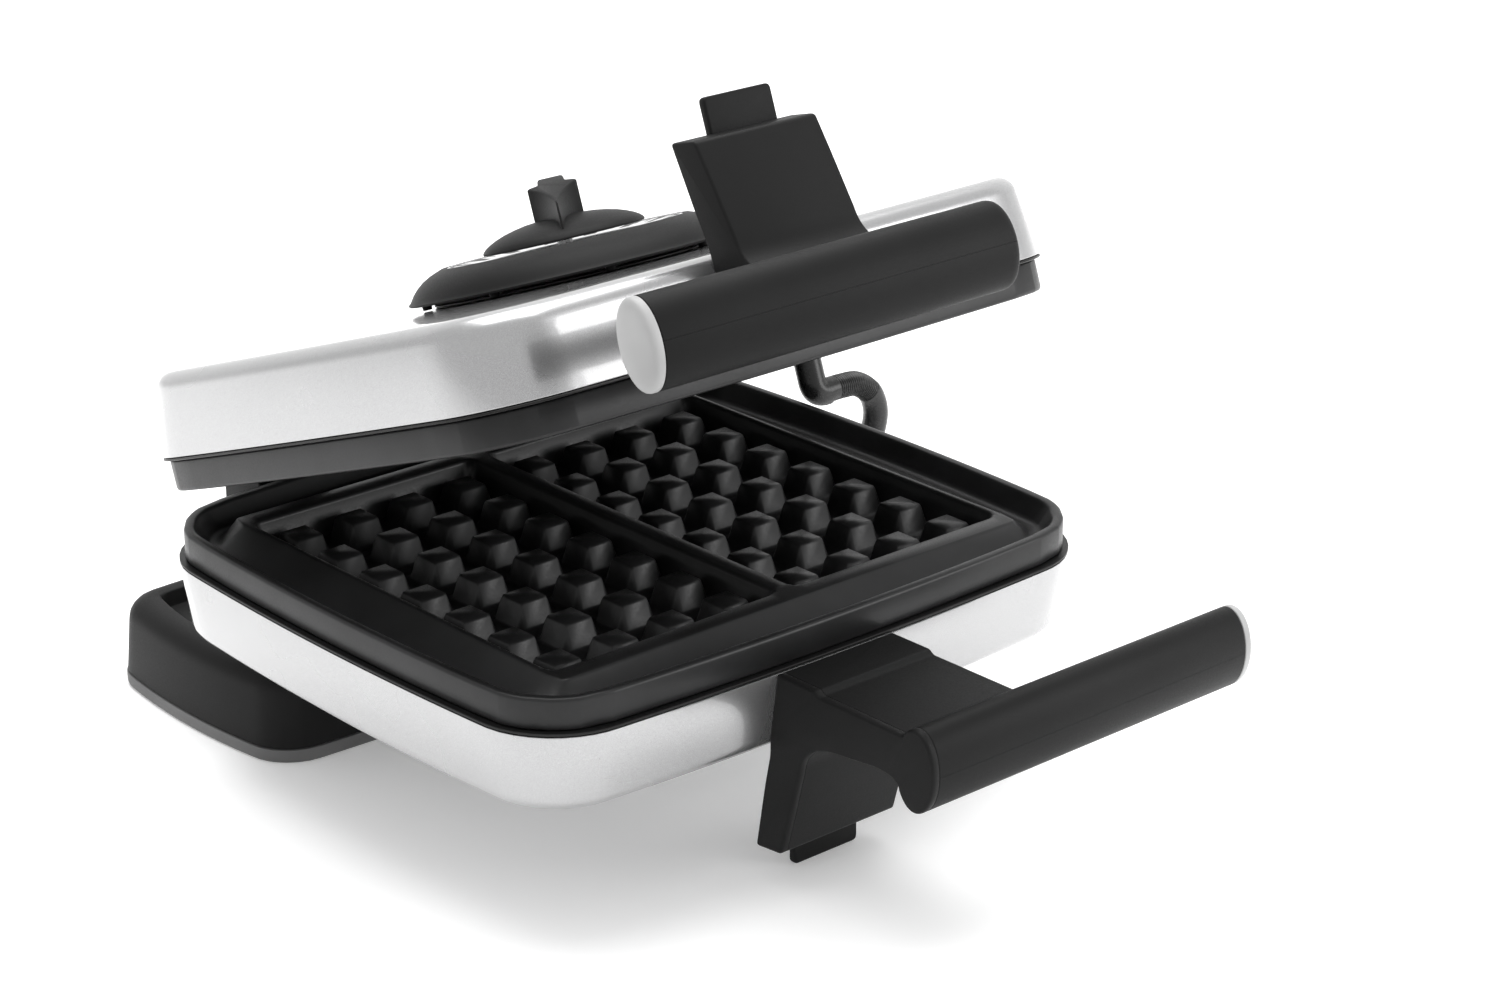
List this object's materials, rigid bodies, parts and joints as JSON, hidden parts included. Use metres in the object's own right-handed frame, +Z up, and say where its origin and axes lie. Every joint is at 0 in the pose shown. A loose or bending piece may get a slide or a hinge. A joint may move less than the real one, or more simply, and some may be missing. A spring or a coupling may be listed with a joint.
{
  "type": "waffle maker",
  "caption": "Electric waffle maker with a book hinge: plates in satin housings, bar handles, legs on both halves, a rear base and a thermostat dial on the lid.",
  "frame": {"origin": "middle of the rear base's flat underside, on the table", "axes": "+Z up, -Y towards the person who uses it and the handles, +X to that person's right, along the hinge axis"},
  "size_m": [0.3333, 0.4053, 0.2816],
  "materials": {
    "satin_housing": "satin silver metallic lacquer with a fine sparkle",
    "non_stick_plate": "black non-stick coating, brushed along the outer wall",
    "black_plastic": "fine spark-eroded texture",
    "grey_plastic": "fine texture",
    "dark_grey_plastic": "matt",
    "pale_grey_plastic": "smooth satin",
    "dial_silver": "silver with printed graduations",
    "conduit_rubber": "glossy, ribbed",
    "black_rubber": "satin",
    "screw_steel": "zinc plated",
    "element_steel": "heat tinted",
    "reflector_aluminium": "bare sheet",
    "ceramic": "unglazed"
  },
  "bodies": {
    "base": {"base_shell": "black_plastic", "base_trim": "grey_plastic", "base_bottom_plate": "dark_grey_plastic", "terminal_block": "ceramic", "cord_gland": "black_rubber", "conduit_gland": "black_plastic", "hinge_post_left": "black_plastic", "hinge_post_right": "black_plastic", "post_screw_left": "screw_steel", "post_screw_right": "screw_steel", "hinge_pin_left": "screw_steel", "hinge_pin_right": "screw_steel", "conduit": "conduit_rubber", "lower_plate": "non_stick_plate", "lower_trim_ring": "black_plastic", "lower_housing": "satin_housing", "lower_heating_element": "element_steel", "lower_reflector": "reflector_aluminium", "lower_leg_bracket": "black_plastic", "lower_grip_inner_shell": "black_plastic", "lower_grip_outer_shell": "black_plastic", "lower_grip_cap": "pale_grey_plastic", "lower_bracket_screw_left": "screw_steel", "lower_bracket_screw_right": "screw_steel", "lower_rear_screw_left": "screw_steel", "lower_rear_screw_right": "screw_steel"},
    "lid": {"lid_plate": "non_stick_plate", "lid_trim_ring": "black_plastic", "lid_housing": "satin_housing", "lid_heating_element": "element_steel", "lid_reflector": "reflector_aluminium", "lid_leg_bracket": "black_plastic", "lid_grip_inner_shell": "black_plastic", "lid_grip_outer_shell": "black_plastic", "lid_grip_cap": "pale_grey_plastic", "lid_bracket_screw_left": "screw_steel", "lid_bracket_screw_right": "screw_steel", "lid_rear_screw_left": "screw_steel", "lid_rear_screw_right": "screw_steel", "lid_hinge_arm_left": "black_plastic", "lid_hinge_arm_right": "black_plastic", "conduit_boot": "black_rubber", "heat_disc": "dark_grey_plastic", "dial_dome": "black_plastic", "dial_plate": "dial_silver", "thermostat_body": "reflector_aluminium"},
    "dial": {"thermostat_shaft": "screw_steel", "thermostat_knob": "black_plastic"}
  },
  "joints": [
    {"name": "lid_hinge", "type": "hinge", "parent": "base", "child": "lid", "pos_m": [0, 0.009, 0.0992], "axis": [-1, 0, 0], "range_deg": [-20, 160], "deforming": ["conduit"]},
    {"name": "thermostat_dial", "type": "hinge", "parent": "lid", "child": "dial", "pos_m": [0, -0.10075, 0.20406], "axis": [0, 0.342, 0.9397], "range_deg": [-135, 135]}
  ]
}
